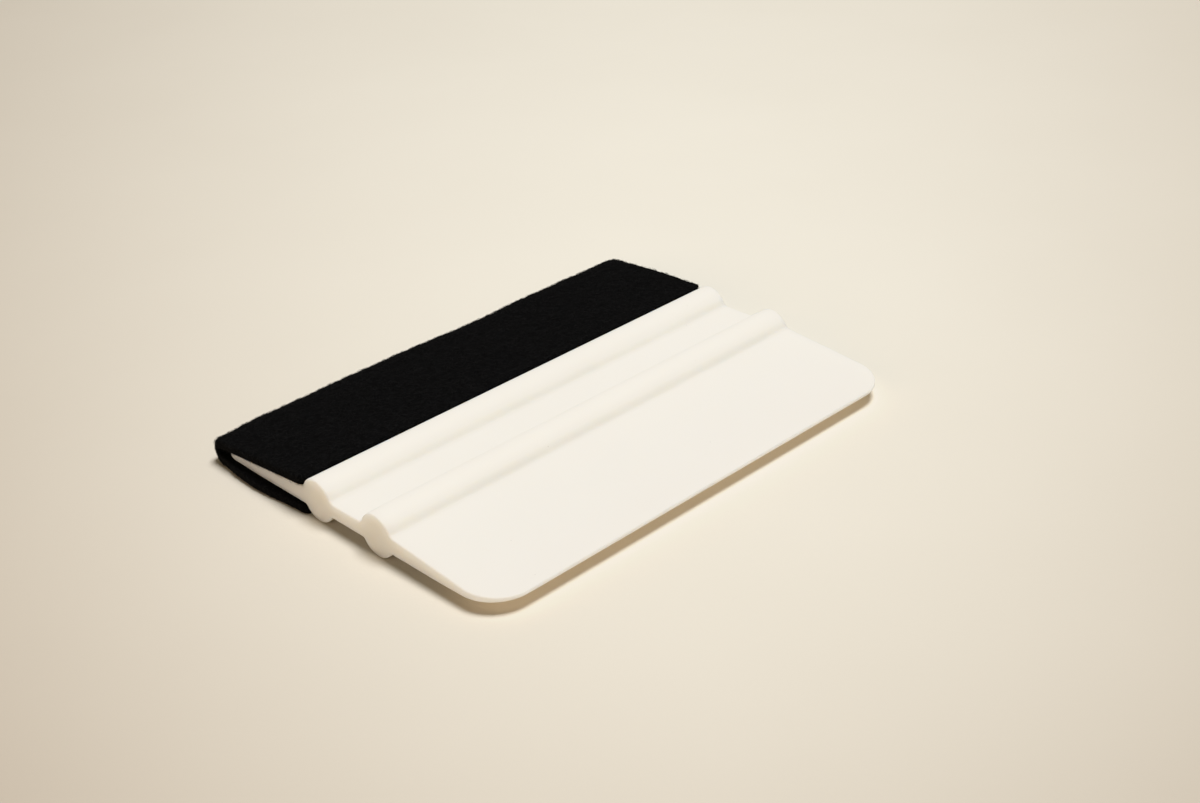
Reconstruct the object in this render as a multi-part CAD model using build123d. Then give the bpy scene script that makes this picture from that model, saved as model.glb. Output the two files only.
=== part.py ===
"""Squeegee applicator for laying self-adhesive film: a flat hand tool with a hard edge and a felt edge.

Frame, in millimetres: +X runs along the two working edges, +Y points from the hard edge to the felt edge
and +Z points up.  The origin is the middle of the footprint, on the surface that the squeegee rests on.

It is put together from three pieces:
  squeegee_body  one plastic moulding: two tapered blades, a web and two round beads for the fingers
  felt_strip     one strip of felt, folded over the rear blade
  adhesive_film  the double-sided film that sticks the felt to the blade
"""
from build123d import *

import os

# Driving dimensions of the moulding
WIDTH = 100.0              # length of the working edges
BODY_DEPTH = 76.0          # from the hard edge to the edge inside the felt
BEAD_SPACING = 16.6        # between the centre lines of the two beads
BEAD_RADIUS = 4.15
WEB_BOTTOM_Z = 2.25        # the web is the flat strip between the beads
WEB_TOP_Z = 5.25
BLADE_ROOT_TOP_Z = 5.9     # top of the blade, carried on to the bead's centre line
EDGE_TOP_Z = 3.2
EDGE_THICKNESS = 0.8
EDGE_RELIEF = 12.0         # width of the band where the underside rises towards the edge
HARD_CORNER_RADIUS = 7.5   # plan radius of the two corners of the hard edge
FELT_CORNER_RADIUS = 4.2   # plan radius of the two corners inside the felt
TOP_ROOT_FILLET = 1.2      # where a bead meets the web or a blade, above
BOTTOM_ROOT_FILLET = 0.7   # the same, below
RIM_RADIUS = 0.3           # the softened rim all round the moulding

# Driving dimensions of the felt and its adhesive
FELT_THICKNESS = 1.9
FILM_THICKNESS = 0.15
FILM_MARGIN = 2.5          # bare strip between the film and each end of the blade
NOSE_SLACK = 0.35          # gap between the blade's edge and the film, in the fold
FELT_SETBACK = 3.1         # from the rear bead's centre line to the felt's cut edges
BEAD_CLEARANCE = 0.12      # gap between the felt and the flank of the bead

# Places that follow from them
BLADE_UNDERSIDE_Z = FELT_THICKNESS + FILM_THICKNESS
EDGE_BOTTOM_Z = EDGE_TOP_Z - EDGE_THICKNESS
FOLD_PADDING = NOSE_SLACK + FILM_THICKNESS + FELT_THICKNESS
FRONT_EDGE_Y = -(BODY_DEPTH + FOLD_PADDING) / 2
REAR_EDGE_Y = FRONT_EDGE_Y + BODY_DEPTH
BODY_MIDDLE_Y = (FRONT_EDGE_Y + REAR_EDGE_Y) / 2
REAR_BEAD_Y = BODY_MIDDLE_Y + BEAD_SPACING / 2
BLADE_LENGTH = REAR_EDGE_Y - REAR_BEAD_Y
TOP_SLOPE = (BLADE_ROOT_TOP_Z - EDGE_TOP_Z) / BLADE_LENGTH
BOTTOM_SLOPE = (EDGE_BOTTOM_Z - BLADE_UNDERSIDE_Z) / EDGE_RELIEF
TOUCH = 1e-3               # two points closer than this are the same point


def blade_section():
    """Section of the rear blade, from the bead's centre line to the edge."""
    outline = Polyline(
        (REAR_BEAD_Y, BLADE_UNDERSIDE_Z),
        (REAR_EDGE_Y - EDGE_RELIEF, BLADE_UNDERSIDE_Z),
        (REAR_EDGE_Y, EDGE_BOTTOM_Z),
        (REAR_EDGE_Y, EDGE_TOP_Z),
        (REAR_BEAD_Y, BLADE_ROOT_TOP_Z),
        close=True,
    )
    return make_face(outline)


def body_section():
    """Section of the whole moulding in the YZ plane, the same to the front as to the rear."""
    bead = Pos(REAR_BEAD_Y, BEAD_RADIUS) * Circle(BEAD_RADIUS)
    web_height = WEB_TOP_Z - WEB_BOTTOM_Z
    half_web = Pos(REAR_BEAD_Y - BEAD_SPACING / 4, WEB_BOTTOM_Z + web_height / 2) * Rectangle(
        BEAD_SPACING / 2, web_height
    )
    rear_half = blade_section() + bead + half_web
    mirror_plane = Plane((BODY_MIDDLE_Y, 0, 0), z_dir=(1, 0, 0))
    section = rear_half + mirror(rear_half, about=mirror_plane)

    def roots(low, high):
        return section.vertices().filter_by_position(Axis.Y, low, high).filter_by(
            lambda corner: abs(abs(corner.X - BODY_MIDDLE_Y) - BEAD_SPACING / 2) < BEAD_RADIUS
        )

    section = fillet(roots(WEB_TOP_Z - TOUCH, BLADE_ROOT_TOP_Z), TOP_ROOT_FILLET)
    section = fillet(roots(BLADE_UNDERSIDE_Z - TOUCH, WEB_BOTTOM_Z + TOUCH), BOTTOM_ROOT_FILLET)
    return section


def plan_outline():
    """Outline of the moulding seen from above."""
    plan = Pos(0, BODY_MIDDLE_Y) * Rectangle(WIDTH, BODY_DEPTH)
    plan = fillet(plan.vertices().group_by(Axis.Y)[0], HARD_CORNER_RADIUS)
    return fillet(plan.vertices().group_by(Axis.Y)[-1], FELT_CORNER_RADIUS)


def squeegee_body():
    """The moulding, with its rim softened all the way round."""
    plan = plan_outline()
    blank = extrude(Plane.YZ * body_section(), amount=WIDTH / 2, both=True)
    blank &= extrude(plan, amount=2 * BEAD_RADIUS)

    outline = plan.face().outer_wire()

    def on_rim(edge):
        middle = edge @ 0.5
        level = abs((edge % 0.5).Z) < 1 - TOUCH
        return level and outline.distance_to((middle.X, middle.Y, 0)) < TOUCH

    return fillet(blank.edges().filter_by(on_rim), RIM_RADIUS)


def wrap_section(clearance, thickness):
    """Section of a layer that is folded over the rear blade, thickness thick and clearance off the blade.

    The layer runs along the top of the blade, round a half circle past the blade's edge and back along
    the underside.  Both of its cut edges stop at the bead.
    """
    inner = fold_outline(clearance)
    outer = fold_outline(clearance + thickness)
    bead_space = Pos(REAR_BEAD_Y, BEAD_RADIUS) * Circle(BEAD_RADIUS + BEAD_CLEARANCE)
    return outer - inner - bead_space - body_section()


def fold_outline(offset):
    """Closed outline that stands offset off the rear blade, from the felt's cut edges to the fold."""
    cut_y = REAR_BEAD_Y + FELT_SETBACK
    setback = EDGE_THICKNESS / 2 - NOSE_SLACK
    nose_top = (REAR_EDGE_Y - setback, EDGE_TOP_Z + TOP_SLOPE * setback + offset)
    nose_tip = (REAR_EDGE_Y + NOSE_SLACK + offset, EDGE_TOP_Z - EDGE_THICKNESS / 2)
    nose_bottom = (REAR_EDGE_Y - setback, EDGE_BOTTOM_Z - BOTTOM_SLOPE * setback - offset)
    top = Line((cut_y, BLADE_ROOT_TOP_Z - TOP_SLOPE * FELT_SETBACK + offset), nose_top)
    nose = ThreePointArc(nose_top, nose_tip, nose_bottom)
    relief = Line(nose_bottom, (REAR_EDGE_Y - EDGE_RELIEF, BLADE_UNDERSIDE_Z - offset))
    bottom = Line(relief @ 1, (cut_y, BLADE_UNDERSIDE_Z - offset))
    return make_face(Curve() + [top, nose, relief, bottom, Line(bottom @ 1, top @ 0)])


def folded_layer(clearance, thickness, margin=0.0):
    """A folded layer that stops margin short of both ends of the moulding."""
    return extrude(Plane.YZ * wrap_section(clearance, thickness), amount=WIDTH / 2 - margin, both=True)


def main():
    nodes = {
        "squeegee_body": squeegee_body(),
        "adhesive_film": folded_layer(0, FILM_THICKNESS, FILM_MARGIN),
        "felt_strip": folded_layer(FILM_THICKNESS, FELT_THICKNESS),
    }
    os.makedirs("parts", exist_ok=True)
    for name, shape in nodes.items():
        solid = shape.solid()
        solid.label = name
        export_step(solid, os.path.join("parts", name + ".step"))


main()
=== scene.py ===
"""Looks for the squeegee applicator: moulded white plastic, a thin adhesive film and a strip of black felt.

Lengths are in metres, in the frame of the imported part: +X along the working edges, +Y from the hard edge
to the felt edge, +Z up from the resting surface.  MM turns the millimetre sizes below into metres.
"""

import math

import bmesh
import bpy
import numpy as np
from mathutils import Matrix, Vector, noise


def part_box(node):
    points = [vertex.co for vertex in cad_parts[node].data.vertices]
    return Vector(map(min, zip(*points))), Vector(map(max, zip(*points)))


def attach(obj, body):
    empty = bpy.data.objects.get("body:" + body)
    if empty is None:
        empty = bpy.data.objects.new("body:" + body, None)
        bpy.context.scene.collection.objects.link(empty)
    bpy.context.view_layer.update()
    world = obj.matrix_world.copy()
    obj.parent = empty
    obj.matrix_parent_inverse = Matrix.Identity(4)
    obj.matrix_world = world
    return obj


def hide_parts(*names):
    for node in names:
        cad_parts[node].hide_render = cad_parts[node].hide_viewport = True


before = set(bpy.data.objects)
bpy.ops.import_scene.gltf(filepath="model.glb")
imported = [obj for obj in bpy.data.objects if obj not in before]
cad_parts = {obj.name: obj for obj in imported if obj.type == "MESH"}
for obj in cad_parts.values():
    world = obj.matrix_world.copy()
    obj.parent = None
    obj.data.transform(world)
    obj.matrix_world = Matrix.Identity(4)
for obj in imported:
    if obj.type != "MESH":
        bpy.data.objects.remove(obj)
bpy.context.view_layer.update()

MM = 0.001
MERGE_DISTANCE = 1e-7             # points of the CAD mesh closer than this are one point
TOUCH = 1e-6                      # places closer than this count as the same

# The felt: its mesh and the softness of its shape
FELT_STEP = 0.42 * MM             # distance between two points of the mesh
FELT_EDGE_RADIUS = 0.38 * MM      # rounding of the cut edges
FELT_EDGE_STEPS = 4               # rows of points round that rounding
FELT_CORNER_RADIUS = 1.5 * MM     # plan rounding of the fold at the two ends
FELT_CORNER_SHARE = 0.8           # the part of that rounding that soft felt really follows
FELT_SWELLS = (                   # (wavelength, height) of the uneven surface
    (22.0 * MM, 0.11 * MM),
    (6.0 * MM, 0.09 * MM),
    (2.4 * MM, 0.10 * MM),
    (1.1 * MM, 0.05 * MM),
)
FOLD_WAVES = (                    # the same, of the line of the fold
    (31.0 * MM, 0.20 * MM),
    (9.0 * MM, 0.20 * MM),
    (3.6 * MM, 0.16 * MM),
    (1.7 * MM, 0.06 * MM),
)
# How far the fold bulges out behind, at even steps from its left-hand end to its right-hand end
FOLD_BULGE = tuple(height * MM for height in (0.1, 1.1, 1.3, 1.1, 0.75, 0.25, 0.6, 0.5, 0.25))
FOLD_REACH = 7.0 * MM             # how far from the fold's tip the waves and the bulge die out
CUT_REACH = 4.0 * MM              # how far from the cut edges the strip is shaped by the bead
CUT_FADE = CUT_REACH / 4
SECTION_KNOTS = 200               # places where the skin is matched to the lining

# How far each end of the felt stands out past the blade: at the upper cut edge, halfway to the fold,
# at the fold, halfway back below and at the lower cut edge
LEFT_OVERHANG = (0.3 * MM, 0.35 * MM, 0.5 * MM, 1.5 * MM, 0.5 * MM)
RIGHT_OVERHANG = (0.5 * MM, 1.8 * MM, 2.1 * MM, 0.9 * MM, 0.3 * MM)
OVERHANG_REACH = 8.0 * MM         # how far from each end of the strip that dies out
CUT_CORNER_RADIUS = 1.3 * MM      # plan rounding of the cut edges at the two ends
CUT_CORNER_REACH = 3 * CUT_CORNER_RADIUS

# The fibres that stand out of the felt. The spreads are shares of a fibre's usual size.
FIBRE_RADIUS = 0.024 * MM
FIBRE_LENGTH = 1.3 * MM
FIBRE_HEIGHT = 0.16 * MM
LENGTH_SPREAD = (0.5, 1.3)
HEIGHT_SPREAD = (0.25, 1.6)
HEIGHT_POWER = 1.5                # above 1, so that most fibres lie low
CURL_SPREAD = (-0.25, 0.25)       # shares of the fibre's own length
RADIUS_SPREAD = (0.7, 1.3)
TIP_SHARE = 0.35                  # radius at the tips, as a share of the radius in the middle
FIBRE_RINGS = 5
FIBRE_SIDES = 3
FIBRE_COUNTS = {"felt_nap_top": 7000, "felt_nap_fold": 6000, "felt_nap_edges": 3000}
SKIN_DEPTH = 0.02                 # share of the thickness, down to which a point belongs to the skin
RIM_DEPTH = 0.9                   # the same for the cut rims
TOP_SLANT = 0.5                   # how much the felt's top looks up at least: 1 is straight up
SEED = 7
NOISE_SPREAD = (3.7, 5.3, 1.9)    # keeps the noises apart from each other

# Colours, as red, green and blue. The shades of a surface are its darkest and its lightest one.
PLASTIC_SHADES = ((0.82, 0.808, 0.76), (0.86, 0.848, 0.80))
DUST_COLOUR = (0.42, 0.39, 0.33)
SCUFF_COLOUR = (0.66, 0.64, 0.60)
GLOW_COLOUR = (1.0, 0.89, 0.75, 1.0)
ADHESIVE_SHADES = ((0.50, 0.46, 0.38), (0.62, 0.58, 0.50))
FELT_SHADES = ((0.0005, 0.0005, 0.0006), (0.0090, 0.0093, 0.0102))
FELT_SHEEN_TINT = (0.75, 0.75, 0.8, 1.0)
FIBRE_SHADES = ((0.002, 0.002, 0.0022), (0.022, 0.022, 0.023))
FLOOR_SHADES = ((0.766, 0.737, 0.655), (0.797, 0.770, 0.690))

# Dust and wear of the plastic. The spacing and the bands, which lie along its hard edge, are in millimetres.
SPECK_SPACING = 3.2
SPECK_RIM = (0.03, 0.055)         # where a speck's soft rim starts and ends, as shares of the spacing
SPECKLESS_SHARES = (0.55, 0.60)   # share of the places without a speck, and without a full one
DUST_STRENGTH = 0.35
SCUFF_BAND = 9.0                  # where it is rubbed most
SCUFF_ELSEWHERE = 0.25            # how much it is rubbed outside that band
SCUFF_STRENGTH = 0.10             # how much the rubbing changes the colour
SCUFF_ROUGHNESS = 0.14            # what it adds to the roughness
GLOW_BAND = 20.0                  # where the blade is thin enough for more light to come through
GLOW_SHARES = (0.04, 0.72)        # share of the light that comes through, behind that band and at the edge

# The studio
FLOOR_HALF_WIDTH = 6.0
FLOOR_DROP = 0.03 * MM            # keeps the floor clear of the object's flat underside
# Each lamp's name, the direction it shines from, its distance, its width and height, its watts and its colour
LAMPS = (
    ("key", (0.18, -0.12, 1.0), 3.5, (1.4, 1.4), 129.0, (1.0, 0.985, 0.98)),
    ("left_fill", (-1.0, -0.1, 0.32), 0.7, (0.6, 0.4), 1.3, (1.0, 0.72, 0.51)),
)
ROOM_COLOUR = (1.0, 0.95, 0.6, 1.0)
ROOM_STRENGTH = 0.085

# The view
CAMERA_AZIMUTH = -42.39
CAMERA_ELEVATION = 28.87
CAMERA_ROLL = -3.53
CAMERA_DISTANCE = 341.3 * MM
CAMERA_LENS = 53.4                # in millimetres, like the sensor's width
CAMERA_SENSOR = 36.0
CAMERA_NEAR = 10.0 * MM           # nothing nearer than this is drawn
CAMERA_AIM = (11.6 * MM, 0.7 * MM)   # from the middle of the footprint
# Painted shade on the floor: its colour darkens off this axis, by these powers of the cosine, as a lens
# darkens a picture towards its corners
PAINTED_SHADE_AXIS = (0.037, 0.064, 1.0)      # right, up and forward in the picture
PAINTED_SHADE_POWERS = (3.8, 4.5, 5.1)       # powers of the cosine by which red, green and blue darken off it

# The brightest tones are pressed together: past its knee, each of red, green and blue rises at this slope
TONE_KNEES = (0.885, 0.837, 0.747)
TONE_SLOPE = 0.35
TONE_TOP = 2.0                    # the brightest tone the curves reach


# ---------------------------------------------------------------- shader nodes

def add_node(tree, kind, inputs=None, **settings):
    """Adds a shader node. An input may be a plain value or the output socket that feeds it."""
    node = tree.nodes.new("ShaderNode" + kind)
    for name, value in settings.items():
        setattr(node, name, value)
    for name, value in (inputs or {}).items():
        if isinstance(value, bpy.types.NodeSocket):
            tree.links.new(value, node.inputs[name])
        else:
            node.inputs[name].default_value = value
    return node


def new_material(name):
    """An empty node material, its node tree, and object coordinates in millimetres."""
    material = bpy.data.materials.new(name)
    material.use_nodes = True
    tree = material.node_tree
    tree.nodes.clear()
    place = add_node(tree, "TexCoord").outputs["Object"]
    inputs = {0: place, "Scale": 1 / MM}
    in_mm = add_node(tree, "VectorMath", inputs, operation="SCALE").outputs["Vector"]
    return material, tree, in_mm


def finish_material(tree, surface):
    add_node(tree, "OutputMaterial", {"Surface": surface.outputs[0]})


def noise_at(tree, place, size, detail=2.0, roughness=0.5):
    """A noise texture whose features are about size millimetres wide."""
    inputs = {"Vector": place, "Scale": 1 / size, "Detail": detail, "Roughness": roughness}
    return add_node(tree, "TexNoise", inputs).outputs["Fac"]


def strokes_at(tree, place, turns, stretch, size):
    """The strongest of several noises of this size, each drawn out stretch times along its own turn."""
    strongest = None
    for turn in turns:
        inputs = {"Vector": place, "Rotation": (0, 0, math.radians(turn)), "Scale": (1 / stretch, 1, 1)}
        turned = add_node(tree, "Mapping", inputs).outputs["Vector"]
        stroke = noise_at(tree, turned, size, detail=3.0, roughness=0.6)
        strongest = stroke if strongest is None else maths(tree, "MAXIMUM", strongest, stroke)
    return strongest


def ramp(tree, value, source, target=(0.0, 1.0)):
    """value taken from the range source to the range target, and held at its ends."""
    inputs = {
        "Value": value,
        "From Min": source[0],
        "From Max": source[1],
        "To Min": target[0],
        "To Max": target[1],
    }
    return add_node(tree, "MapRange", inputs).outputs["Result"]


def maths(tree, operation, first, second):
    return add_node(tree, "Math", {0: first, 1: second}, operation=operation).outputs["Value"]


def mix_colour(tree, share, first, second):
    node = add_node(tree, "Mix", data_type="RGBA")
    for name, value in (("Factor_Float", share), ("A_Color", first), ("B_Color", second)):
        socket = next(s for s in node.inputs if s.identifier == name)
        if isinstance(value, bpy.types.NodeSocket):
            tree.links.new(value, socket)
        else:
            socket.default_value = value if name == "Factor_Float" else (*value, 1.0)
    return next(s for s in node.outputs if s.identifier == "Result_Color")


def mix_shaders(tree, share, first, second):
    node = add_node(tree, "MixShader", {0: share})
    for number, shader in enumerate((first, second), start=1):
        tree.links.new(shader.outputs[0], node.inputs[number])
    return node


def bump(tree, height, distance, strength, below=None):
    """A bump of a height from 0 to 1 that stands for distance millimetres, on top of another bump."""
    inputs = {"Height": height, "Distance": distance * MM, "Strength": strength}
    if below is not None:
        inputs["Normal"] = below
    return add_node(tree, "Bump", inputs).outputs["Normal"]


# ---------------------------------------------------------------- meshes

def mesh_object(name, points, faces, material):
    mesh = bpy.data.meshes.new(name)
    mesh.from_pydata([tuple(p) for p in points], [], [tuple(f) for f in faces])
    mesh.validate()
    mesh.materials.append(material)
    mesh.polygons.foreach_set("use_smooth", [True] * len(mesh.polygons))
    built = bpy.data.objects.new(name, mesh)
    bpy.context.scene.collection.objects.link(built)
    return built


def face_the_right_way(built):
    """Makes a closed mesh's faces all look outwards."""
    shape = bmesh.new()
    shape.from_mesh(built.data)
    bmesh.ops.recalc_face_normals(shape, faces=shape.faces)
    shape.to_mesh(built.data)
    shape.free()


# ---------------------------------------------------------------- materials

def dust_specks(tree, place):
    """Where the specks of dust are, one in some of the cells of a pattern."""
    cells = add_node(tree, "TexVoronoi", {"Vector": place, "Scale": 1 / SPECK_SPACING, "Randomness": 1.0})
    number = add_node(tree, "SeparateColor", {"Color": cells.outputs["Color"]}).outputs["Red"]
    near = ramp(tree, cells.outputs["Distance"], SPECK_RIM, (1.0, 0.0))
    return maths(tree, "MULTIPLY", near, ramp(tree, number, SPECKLESS_SHARES))


def white_plastic(edge_y):
    """Satin moulded polypropylene: slightly translucent, with a fine mould grain, rubbed and dusty in places.

    edge_y is where the hard edge lies, in millimetres: the rubbing is strongest there.
    """
    material, tree, place = new_material("white_plastic_moulded")
    colour = mix_colour(tree, noise_at(tree, place, 18.0), *PLASTIC_SHADES)
    dust = maths(tree, "MULTIPLY", dust_specks(tree, place), DUST_STRENGTH)
    colour = mix_colour(tree, dust, colour, DUST_COLOUR)

    # Fine strokes from use, denser towards the hard edge
    across = add_node(tree, "SeparateXYZ", {"Vector": place}).outputs["Y"]
    near_edge = ramp(tree, across, (edge_y + SCUFF_BAND, edge_y))
    scuff = ramp(tree, strokes_at(tree, place, turns=(84, 97, 62), stretch=26.0, size=0.24), (0.69, 0.78))
    scuff = maths(tree, "MULTIPLY", scuff, maths(tree, "ADD", SCUFF_ELSEWHERE, near_edge))
    colour = mix_colour(tree, maths(tree, "MULTIPLY", scuff, SCUFF_STRENGTH), colour, SCUFF_COLOUR)

    patches = noise_at(tree, place, 7.0, detail=4.0)
    rough = ramp(tree, patches, (0.3, 0.7), (0.52, 0.62))
    rough = maths(tree, "ADD", rough, maths(tree, "MULTIPLY", scuff, SCUFF_ROUGHNESS))

    shrinkage = noise_at(tree, place, 9.0, detail=1.0)
    grain = noise_at(tree, place, 0.16)
    normal = bump(tree, shrinkage, distance=0.05, strength=0.5)
    normal = bump(tree, grain, distance=0.008, strength=0.5, below=normal)
    normal = bump(tree, scuff, distance=-0.006, strength=0.6, below=normal)
    surface = add_node(tree, "BsdfPrincipled", {
        "Base Color": colour,
        "Roughness": rough,
        "IOR": 1.49,
        "Specular IOR Level": 0.3,
        "Subsurface Weight": 1.0,
        "Subsurface Radius": (1.0, 0.92, 0.79),
        "Subsurface Scale": 4.5 * MM,
        "Normal": normal,
    })

    # Light that goes through the thin blade warms the shade below it. That light never meets the camera.
    thin = ramp(tree, across, (edge_y + GLOW_BAND, edge_y), GLOW_SHARES)
    through = add_node(tree, "BsdfTranslucent", {"Color": GLOW_COLOUR})
    unseen = mix_shaders(tree, thin, surface, through)
    seen = add_node(tree, "LightPath").outputs["Is Camera Ray"]
    finish_material(tree, mix_shaders(tree, seen, unseen, surface))
    return material


def adhesive():
    """Dull, slightly cloudy acrylic adhesive."""
    material, tree, place = new_material("adhesive_film_clear")
    cloud = noise_at(tree, place, 0.9, detail=3.0)
    surface = add_node(tree, "BsdfPrincipled", {
        "Base Color": mix_colour(tree, cloud, *ADHESIVE_SHADES),
        "Roughness": ramp(tree, cloud, (0.3, 0.7), (0.45, 0.65)),
        "Subsurface Weight": 0.3,
        "Subsurface Scale": 0.4 * MM,
        "Normal": bump(tree, noise_at(tree, place, 0.25), distance=0.02, strength=0.6),
    })
    finish_material(tree, surface)
    return material


def black_felt():
    """Pressed black felt: matted fibres lying every way, lint-grey where they catch the light."""
    material, tree, place = new_material("black_felt_pressed")
    matted = strokes_at(tree, place, turns=(8, 67, 128), stretch=7.0, size=0.13)
    clumps = noise_at(tree, place, 1.4, detail=3.0, roughness=0.6)
    raised = ramp(tree, matted, (0.5, 0.78))
    lit = maths(tree, "MULTIPLY", raised, ramp(tree, clumps, (0.35, 0.7), (0.45, 1.0)))
    normal = bump(tree, clumps, distance=0.10, strength=0.55)
    normal = bump(tree, matted, distance=0.07, strength=0.8, below=normal)
    surface = add_node(tree, "BsdfPrincipled", {
        "Base Color": mix_colour(tree, lit, *FELT_SHADES),
        "Roughness": ramp(tree, matted, (0.4, 0.8), (0.96, 0.82)),
        "Specular IOR Level": 0.03,
        "Sheen Weight": 0.012,
        "Sheen Roughness": 0.5,
        "Sheen Tint": FELT_SHEEN_TINT,
        "Normal": normal,
    })
    finish_material(tree, surface)
    return material


def felt_fibre():
    """Single black fibres, some a little greyer than the others."""
    material, tree, place = new_material("black_felt_fibre")
    shade = noise_at(tree, place, 0.8)
    surface = add_node(tree, "BsdfPrincipled", {
        "Base Color": mix_colour(tree, shade, *FIBRE_SHADES),
        "Roughness": ramp(tree, shade, (0.3, 0.7), (0.7, 0.9)),
        "Specular IOR Level": 0.06,
        "Sheen Weight": 0.01,
    })
    finish_material(tree, surface)
    return material


def floor_cloth():
    """Plain cream floor, barely mottled, with painted shade darkening it towards the picture's corners."""
    material, tree, place = new_material("floor_cream")
    colour = mix_colour(tree, noise_at(tree, place, 60.0, detail=3.0), *FLOOR_SHADES)

    # Painted shade: the floor's colour darkens towards the picture's corners, by a power of the cosine of the
    # angle off an axis, as a lens darkens a picture
    looking = add_node(tree, "CameraData").outputs["View Vector"]
    axis = Vector(PAINTED_SHADE_AXIS).normalized()
    off_axis = add_node(tree, "VectorMath", {0: looking, 1: axis}, operation="DOT_PRODUCT")
    powers = [maths(tree, "POWER", off_axis.outputs["Value"], power) for power in PAINTED_SHADE_POWERS]
    painted_shade = add_node(tree, "CombineXYZ", dict(enumerate(powers))).outputs["Vector"]
    painted_shade_colour = add_node(tree, "VectorMath", {0: colour, 1: painted_shade}, operation="MULTIPLY")
    surface = add_node(tree, "BsdfPrincipled", {
        "Base Color": painted_shade_colour.outputs["Vector"],
        "Roughness": 0.95,
        "Specular IOR Level": 0.1,
        "Normal": bump(tree, noise_at(tree, place, 0.6, detail=4.0), distance=0.05, strength=0.3),
    })
    finish_material(tree, surface)
    return material


# ---------------------------------------------------------------- the CAD felt's section

def end_outline(cad_object):
    """The outline of a node's flat left-hand end, as an ordered array of (y, z) points."""
    shape = bmesh.new()
    shape.from_mesh(cad_object.data)
    bmesh.ops.remove_doubles(shape, verts=shape.verts, dist=MERGE_DISTANCE)
    left = min(v.co.x for v in shape.verts)

    def on_end(element):
        return all(abs(v.co.x - left) < TOUCH for v in element.verts)

    edges = [e for e in shape.edges if on_end(e) and sum(map(on_end, e.link_faces)) == 1]
    around = {}
    for edge in edges:
        first, second = edge.verts
        around.setdefault(first, []).append(second)
        around.setdefault(second, []).append(first)
    start = edges[0].verts[0]
    loop, previous, current = [start], None, start
    while True:
        following = next(v for v in around[current] if v is not previous)
        if following is start:
            break
        loop.append(following)
        previous, current = current, following
    points = np.array([(v.co.y, v.co.z) for v in loop])
    shape.free()
    return points


def lengths_along(points):
    """How far each point of a polyline is from its start, along it."""
    steps = np.linalg.norm(np.diff(points, axis=0), axis=1)
    return np.concatenate([[0.0], np.cumsum(steps)])


def points_along(points, places):
    """The points of a polyline at these distances from its start."""
    run = lengths_along(points)
    return np.stack([np.interp(places, run, points[:, axis]) for axis in range(2)], axis=1)


def nearest_places(points, targets):
    """For each target, how far along a polyline its nearest point lies."""
    first, span = points[:-1], np.diff(points, axis=0)
    share = ((targets[:, None] - first) * span).sum(-1) / (span * span).sum(-1)
    share = np.clip(share, 0, 1)
    gaps = np.linalg.norm(first + share[..., None] * span - targets[:, None], axis=-1)
    best = gaps.argmin(axis=1)
    picked = np.arange(len(targets))
    return lengths_along(points)[best] + share[picked, best] * np.linalg.norm(span, axis=1)[best]


def long_sides(outline):
    """Splits a folded strip's outline into its skin, its lining and its two cut edges.

    The skin and the lining run from the top to the underside, and each cut edge from the skin to the lining.
    The lining starts and ends where the strip has nearly its full thickness.
    """
    full_share = 0.97
    front = outline[:, 0].min()
    cut = np.flatnonzero(outline[:, 0] < front + TOUCH)
    top, bottom = cut[outline[cut, 1].argmax()], cut[outline[cut, 1].argmin()]
    first, last = sorted((top, bottom))
    paths = [outline[first:last + 1], np.concatenate([outline[last:], outline[:first + 1]])]
    paths = [path if path[0, 1] > path[-1, 1] else path[::-1] for path in paths]
    inside, skin = sorted(paths, key=lambda path: path[:, 0].max())
    gap = np.linalg.norm(inside - points_along(skin, nearest_places(skin, inside)), axis=1)
    full = np.flatnonzero(gap > full_share * gap.max())
    lining = inside[full[0]:full[-1] + 1]
    return skin, lining, inside[:full[0] + 1], inside[full[-1]:][::-1]


def hollow(edge, depth):
    """How far a cut edge lies from the straight line between its ends, at these shares of its depth."""
    places = depth * lengths_along(edge)[-1]
    return points_along(edge, places) - (edge[0] + (edge[-1] - edge[0]) * depth[:, None])


# ---------------------------------------------------------------- the felt's shape

def stations(length, step, radius):
    """Places from 0 to length, about step apart, and closer together within radius of both ends."""
    turns = np.linspace(0, math.pi / 2, FELT_EDGE_STEPS + 1)[:-1]
    rounding = radius * (1 - np.cos(turns))
    middle = np.linspace(radius, length - radius, max(2, round((length - 2 * radius) / step)))
    return np.concatenate([rounding, middle, length - rounding[::-1]])


def grid_surface(counts):
    """The surface of a block of counts points each way: its points as index triples, and its faces."""
    index = {}
    corners = []

    def point(*place):
        if place not in index:
            index[place] = len(corners)
            corners.append(place)
        return index[place]

    faces = []
    for axis in range(3):
        one, two = (axis + 1) % 3, (axis + 2) % 3
        for level, flip in ((0, True), (counts[axis] - 1, False)):
            for a in range(counts[one] - 1):
                for b in range(counts[two] - 1):
                    face = []
                    for da, db in ((0, 0), (1, 0), (1, 1), (0, 1)):
                        place = [0, 0, 0]
                        place[axis], place[one], place[two] = level, a + da, b + db
                        face.append(point(*place))
                    faces.append(face[::-1] if flip else face)
    return np.array(corners), faces


def rounded(distances, sizes, radius):
    """Pulls the surface of a block in round its edges. distances are from the block's low faces."""
    tiny = 1e-9                   # keeps the division clear of zero
    high = distances > sizes / 2
    from_face = np.where(high, sizes - distances, distances)
    share = np.clip(1 - from_face / radius, 0, None)
    reach = np.linalg.norm(share, axis=1)
    scale = np.where(reach > 0, share.max(axis=1) / np.maximum(reach, tiny), 1.0)
    from_face = np.where(share > 0, radius * (1 - share * scale[:, None]), from_face)
    return np.where(high, sizes - from_face, from_face)


def corner_inset(distances, radius):
    """How far a rounded corner lies inside a square one, at these distances from the square one's side."""
    short = np.clip(1 - distances / radius, 0, 1)
    return radius * (1 - np.sqrt(1 - short ** 2))


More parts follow.
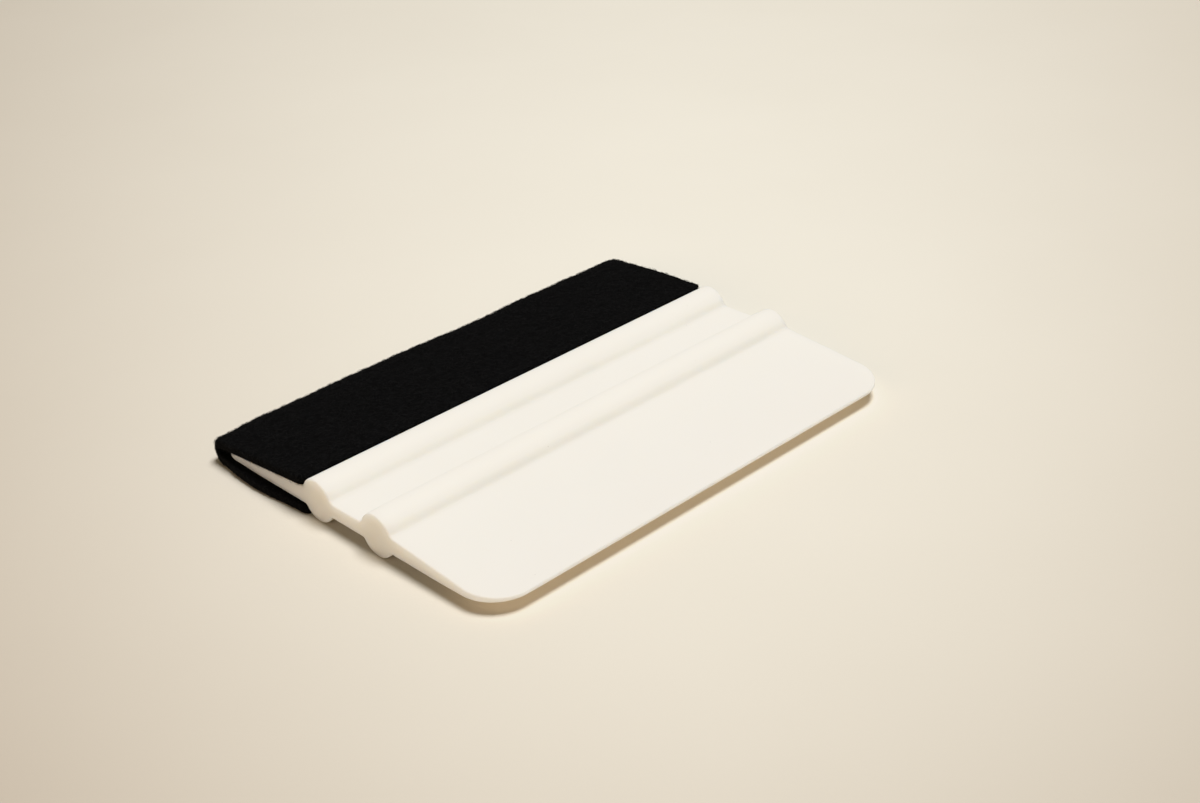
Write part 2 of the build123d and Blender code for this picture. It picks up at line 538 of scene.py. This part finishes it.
def uneven(places, waves, seed):
    """The sum of smooth noises at these places. waves holds (wavelength, height) pairs."""
    by_seed, by_number, fixed = NOISE_SPREAD
    total = np.zeros(len(places))
    for number, (wavelength, height) in enumerate(waves):
        offset = Vector((seed * by_seed, number * by_number, fixed))
        total += height * np.array([noise.noise(Vector(p / wavelength) + offset) for p in places])
    return total


def smoothed(places, length, values):
    """The values at these places, eased from each value to the next. The values are spread over length."""
    gaps = len(values) - 1
    step = length / gaps
    low = np.minimum((places / step).astype(int), gaps - 1)
    share = places / step - low
    share = share * share * (3 - 2 * share)
    values = np.array(values)
    return values[low] + (values[low + 1] - values[low]) * share


def folded_section(sides, across, depth):
    """Where the points of the strip lie in its folded section, and which way is outwards there.

    across is how far each point is from the upper cut edge, along the skin, and depth is the share of its
    place through the thickness.
    """
    skin, lining, top_cut, bottom_cut = sides
    run = lengths_along(skin)[-1]
    knots = np.linspace(CUT_REACH, run - CUT_REACH, SECTION_KNOTS)
    matching = nearest_places(lining, points_along(skin, knots))
    knots = np.concatenate([[0], knots, [run]])
    matching = np.concatenate([[0], matching, [lengths_along(lining)[-1]]])
    on_skin = points_along(skin, across)
    on_lining = points_along(lining, np.interp(across, knots, matching))
    section = on_skin + (on_lining - on_skin) * depth[:, None]
    for edge, reach in ((top_cut, across), (bottom_cut, run - across)):
        section += hollow(edge, depth) * np.exp(-reach / CUT_FADE)[:, None]
    away = (on_skin - on_lining) / np.linalg.norm(on_skin - on_lining, axis=1)[:, None]
    return section, away


def fold_offset(along, width):
    """How far the fold stands out behind: it bulges and wanders, and both its ends are drawn in."""
    places = np.column_stack([along, np.zeros((len(along), 2))])
    wander = uneven(places, FOLD_WAVES, SEED + 1) + smoothed(along, width, FOLD_BULGE)
    from_end = np.minimum(along, width - along)
    return wander - corner_inset(from_end, FELT_CORNER_RADIUS) * FELT_CORNER_SHARE


def end_offset(along, across, width, run):
    """How far each point moves along X: the strip was cut by hand, so its ends aren't quite flush."""
    cut_corner = corner_inset(np.minimum(across, run - across), CUT_CORNER_RADIUS)
    total = np.zeros(len(along))
    for outwards, overhang, reach in ((-1, LEFT_OVERHANG, along), (1, RIGHT_OVERHANG, width - along)):
        stands_out = smoothed(across, run, overhang) * np.clip(1 - reach / OVERHANG_REACH, 0, 1) ** 2
        pulled_in = cut_corner * np.clip(1 - reach / CUT_CORNER_REACH, 0, 1)
        total += outwards * (stands_out - pulled_in)
    return total


def felt_mesh(cad_object, lowest, highest):
    """The folded strip as one closed mesh, and the share of each point's place through its thickness."""
    sides = long_sides(end_outline(cad_object))
    skin, lining = sides[:2]
    width = highest.x - lowest.x
    run = lengths_along(skin)[-1]
    thickness = np.linalg.norm(skin[-1] - lining[-1])
    sizes = np.array([width, run, thickness])
    ways = [stations(size, FELT_STEP, FELT_EDGE_RADIUS) for size in sizes]
    corners, faces = grid_surface([len(way) for way in ways])
    flat = np.stack([way[corners[:, axis]] for axis, way in enumerate(ways)], axis=1)
    soft = rounded(flat, sizes, FELT_EDGE_RADIUS)
    along, across, through = soft.T
    depth = through / thickness
    section, away = folded_section(sides, across, depth)
    points = np.column_stack([lowest.x + along, section])

    # Only the skin is uneven. The lining stays where it is glued.
    loose = 1 - depth
    near_fold = np.clip(1 - (highest.y - section[:, 0]) / FOLD_REACH, 0, 1) ** 2
    points[:, 1:] += away * (uneven(soft, FELT_SWELLS, SEED) * loose)[:, None]
    points[:, 1] += fold_offset(along, width) * near_fold * loose
    points[:, 0] += end_offset(along, across, width, run)
    points[:, 2] = np.maximum(points[:, 2], lowest.z)
    return points, faces, depth


# ---------------------------------------------------------------- the felt and its nap

def fibre_points(roots, normals, random):
    """The points of the fibres that rise out of the felt in low arcs, fibre by fibre and ring by ring.

    Fibres that would dip below the surface the felt rests on are left out.
    """
    count = len(roots)
    sideways = np.cross(normals, random.normal(size=(count, 3)))
    sideways /= np.linalg.norm(sideways, axis=1)[:, None]
    across = np.cross(normals, sideways)
    length = FIBRE_LENGTH * random.uniform(*LENGTH_SPREAD, count)
    height = FIBRE_HEIGHT * random.uniform(*HEIGHT_SPREAD, count) ** HEIGHT_POWER
    curl = length * random.uniform(*CURL_SPREAD, count)
    thick = FIBRE_RADIUS * random.uniform(*RADIUS_SPREAD, count)
    points = []
    for ring in range(FIBRE_RINGS):
        share = ring / (FIBRE_RINGS - 1)
        arch = math.sin(math.pi * share)
        middle = (
            roots
            + sideways * (length * (share - 0.5))[:, None]
            + normals * (height * arch - thick)[:, None]
            + across * (curl * arch)[:, None]
        )
        radius = thick * (TIP_SHARE + (1 - TIP_SHARE) * arch)
        for side in range(FIBRE_SIDES):
            turn = side * 2 * math.pi / FIBRE_SIDES
            rim = normals * math.cos(turn) + across * math.sin(turn)
            points.append(middle + rim * radius[:, None])
    points = np.stack(points, axis=1)
    return points[points[:, :, 2].min(axis=1) > 0]


def tube_faces():
    """The faces of one fibre: a tube of rings, closed at both tips."""
    faces = []
    for ring in range(FIBRE_RINGS - 1):
        for side in range(FIBRE_SIDES):
            first = ring * FIBRE_SIDES + side
            second = ring * FIBRE_SIDES + (side + 1) % FIBRE_SIDES
            faces.append((first, second, second + FIBRE_SIDES, first + FIBRE_SIDES))
    last = (FIBRE_RINGS - 1) * FIBRE_SIDES
    faces.append(tuple(range(FIBRE_SIDES))[::-1])
    faces.append(tuple(range(last, last + FIBRE_SIDES)))
    return faces


def fibres(name, roots, normals, random, material):
    """Fibres at these roots as one object, each a thin closed tube with pointed ends."""
    points = fibre_points(roots, normals, random)
    count, per_fibre = points.shape[:2]
    pattern = tube_faces()
    faces = [tuple(p + f * per_fibre for p in face) for f in range(count) for face in pattern]
    built = mesh_object(name, points.reshape(-1, 3), faces, material)
    face_the_right_way(built)
    return built


def scattered(felt, choose, count, random):
    """count points on the chosen faces of the felt, spread evenly by area, and the normals there."""
    mesh = felt.data
    chosen = [p for p in mesh.polygons if choose(p)]
    area = np.array([p.area for p in chosen])
    picks = random.choice(len(chosen), count, p=area / area.sum())
    roots = np.empty((count, 3))
    for row, pick in enumerate(picks):
        corners = [mesh.vertices[v].co for v in chosen[pick].vertices]
        a, b = random.uniform(size=2)
        low = corners[0].lerp(corners[1], a)
        high = corners[3].lerp(corners[2], a)
        roots[row] = low.lerp(high, b)
    return roots, np.array([chosen[pick].normal for pick in picks])


def build_nap(felt, depth, fold_y):
    """Fibres on the felt's top, round its fold, which is behind fold_y, and on its cut rims."""
    def on_skin(polygon):
        return all(depth[v] < SKIN_DEPTH for v in polygon.vertices)

    def on_top(polygon):
        return on_skin(polygon) and polygon.normal.z > TOP_SLANT and polygon.center.y < fold_y

    def round_the_fold(polygon):
        return on_skin(polygon) and polygon.center.y >= fold_y

    def at_rim(polygon):
        return not on_skin(polygon) and any(depth[v] < RIM_DEPTH for v in polygon.vertices)

    places = {"felt_nap_top": on_top, "felt_nap_fold": round_the_fold, "felt_nap_edges": at_rim}
    material = felt_fibre()
    random = np.random.default_rng(SEED)
    for name, choose in places.items():
        roots, normals = scattered(felt, choose, FIBRE_COUNTS[name], random)
        nap = fibres(name, roots, normals, random, material)
        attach(nap, "root")


def build_felt():
    """The felt strip and its nap, in place of the plain CAD solid."""
    lowest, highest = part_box("felt_strip")
    points, faces, depth = felt_mesh(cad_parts["felt_strip"], lowest, highest)
    felt = mesh_object("felt_folded", points, faces, black_felt())
    face_the_right_way(felt)
    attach(felt, "root")
    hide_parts("felt_strip")
    build_nap(felt, depth, highest.y - FOLD_REACH / 2)


# ---------------------------------------------------------------- the carried CAD nodes

def dress(node, material):
    """Gives a CAD node its material."""
    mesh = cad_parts[node].data
    mesh.materials.clear()
    mesh.materials.append(material)


# ---------------------------------------------------------------- the studio

def build_floor():
    corners = [
        (x * FLOOR_HALF_WIDTH, y * FLOOR_HALF_WIDTH, -FLOOR_DROP)
        for x, y in ((-1, -1), (1, -1), (1, 1), (-1, 1))
    ]
    floor = mesh_object("floor", corners, [(0, 1, 2, 3)], floor_cloth())


def area_light(name, direction, distance, size, watts, colour):
    """A soft light, size wide and high, that shines on the middle of the object from this direction."""
    light = bpy.data.lights.new(name, "AREA")
    light.shape = "RECTANGLE"
    light.size, light.size_y = size
    light.energy = watts
    light.color = colour
    lamp = bpy.data.objects.new(name, light)
    back = Vector(direction).normalized()
    lamp.location = back * distance
    lamp.rotation_mode = "QUATERNION"
    lamp.rotation_quaternion = back.to_track_quat("Z", "Y")
    lamp.visible_camera = False
    bpy.context.scene.collection.objects.link(lamp)


def build_lights():
    for lamp in LAMPS:
        area_light(*lamp)
    world = bpy.data.worlds.new("room")
    bpy.context.scene.world = world
    world.use_nodes = True
    background = world.node_tree.nodes["Background"]
    background.inputs["Color"].default_value = ROOM_COLOUR
    background.inputs["Strength"].default_value = ROOM_STRENGTH


def build_camera():
    """The camera stands where the reference picture was taken from, tilted as it was."""
    azimuth, elevation, roll = map(math.radians, (CAMERA_AZIMUTH, CAMERA_ELEVATION, CAMERA_ROLL))
    back = Vector((
        math.sin(azimuth) * math.cos(elevation),
        -math.cos(azimuth) * math.cos(elevation),
        math.sin(elevation),
    ))
    right = Vector((math.cos(azimuth), math.sin(azimuth), 0))
    up = back.cross(right)
    rolled_right = right * math.cos(roll) + up * math.sin(roll)
    rolled_up = up * math.cos(roll) - right * math.sin(roll)
    turn = Matrix((rolled_right, rolled_up, back)).transposed()
    lens = bpy.data.cameras.new("camera")
    lens.sensor_width = CAMERA_SENSOR
    lens.lens = CAMERA_LENS
    lens.clip_start = CAMERA_NEAR
    camera = bpy.data.objects.new("camera", lens)
    camera.rotation_mode = "QUATERNION"
    camera.rotation_quaternion = turn.to_quaternion()
    camera.location = Vector((*CAMERA_AIM, 0)) + back * CAMERA_DISTANCE
    bpy.context.scene.collection.objects.link(camera)
    bpy.context.scene.camera = camera


def press_bright_tones():
    """Shows the picture plainly, apart from its brightest tones."""
    view = bpy.context.scene.view_settings
    view.view_transform = "Standard"
    view.use_curve_mapping = True
    curves = view.curve_mapping
    curves.clip_max_x = TONE_TOP
    curves.clip_max_y = TONE_TOP
    for curve, knee in zip(curves.curves, TONE_KNEES):
        curve.points[-1].location = (TONE_TOP, knee + (TONE_TOP - knee) * TONE_SLOPE)
        curve.points.new(knee, knee)
        for point in curve.points:
            point.handle_type = "VECTOR"
    # The last curve is for all three colours together, and stays straight
    curves.curves[-1].points[-1].location = (TONE_TOP, TONE_TOP)
    curves.update()


body_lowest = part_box("squeegee_body")[0]
dress("squeegee_body", white_plastic(body_lowest.y / MM))
dress("adhesive_film", adhesive())
build_felt()
build_floor()
build_lights()
build_camera()
press_bright_tones()
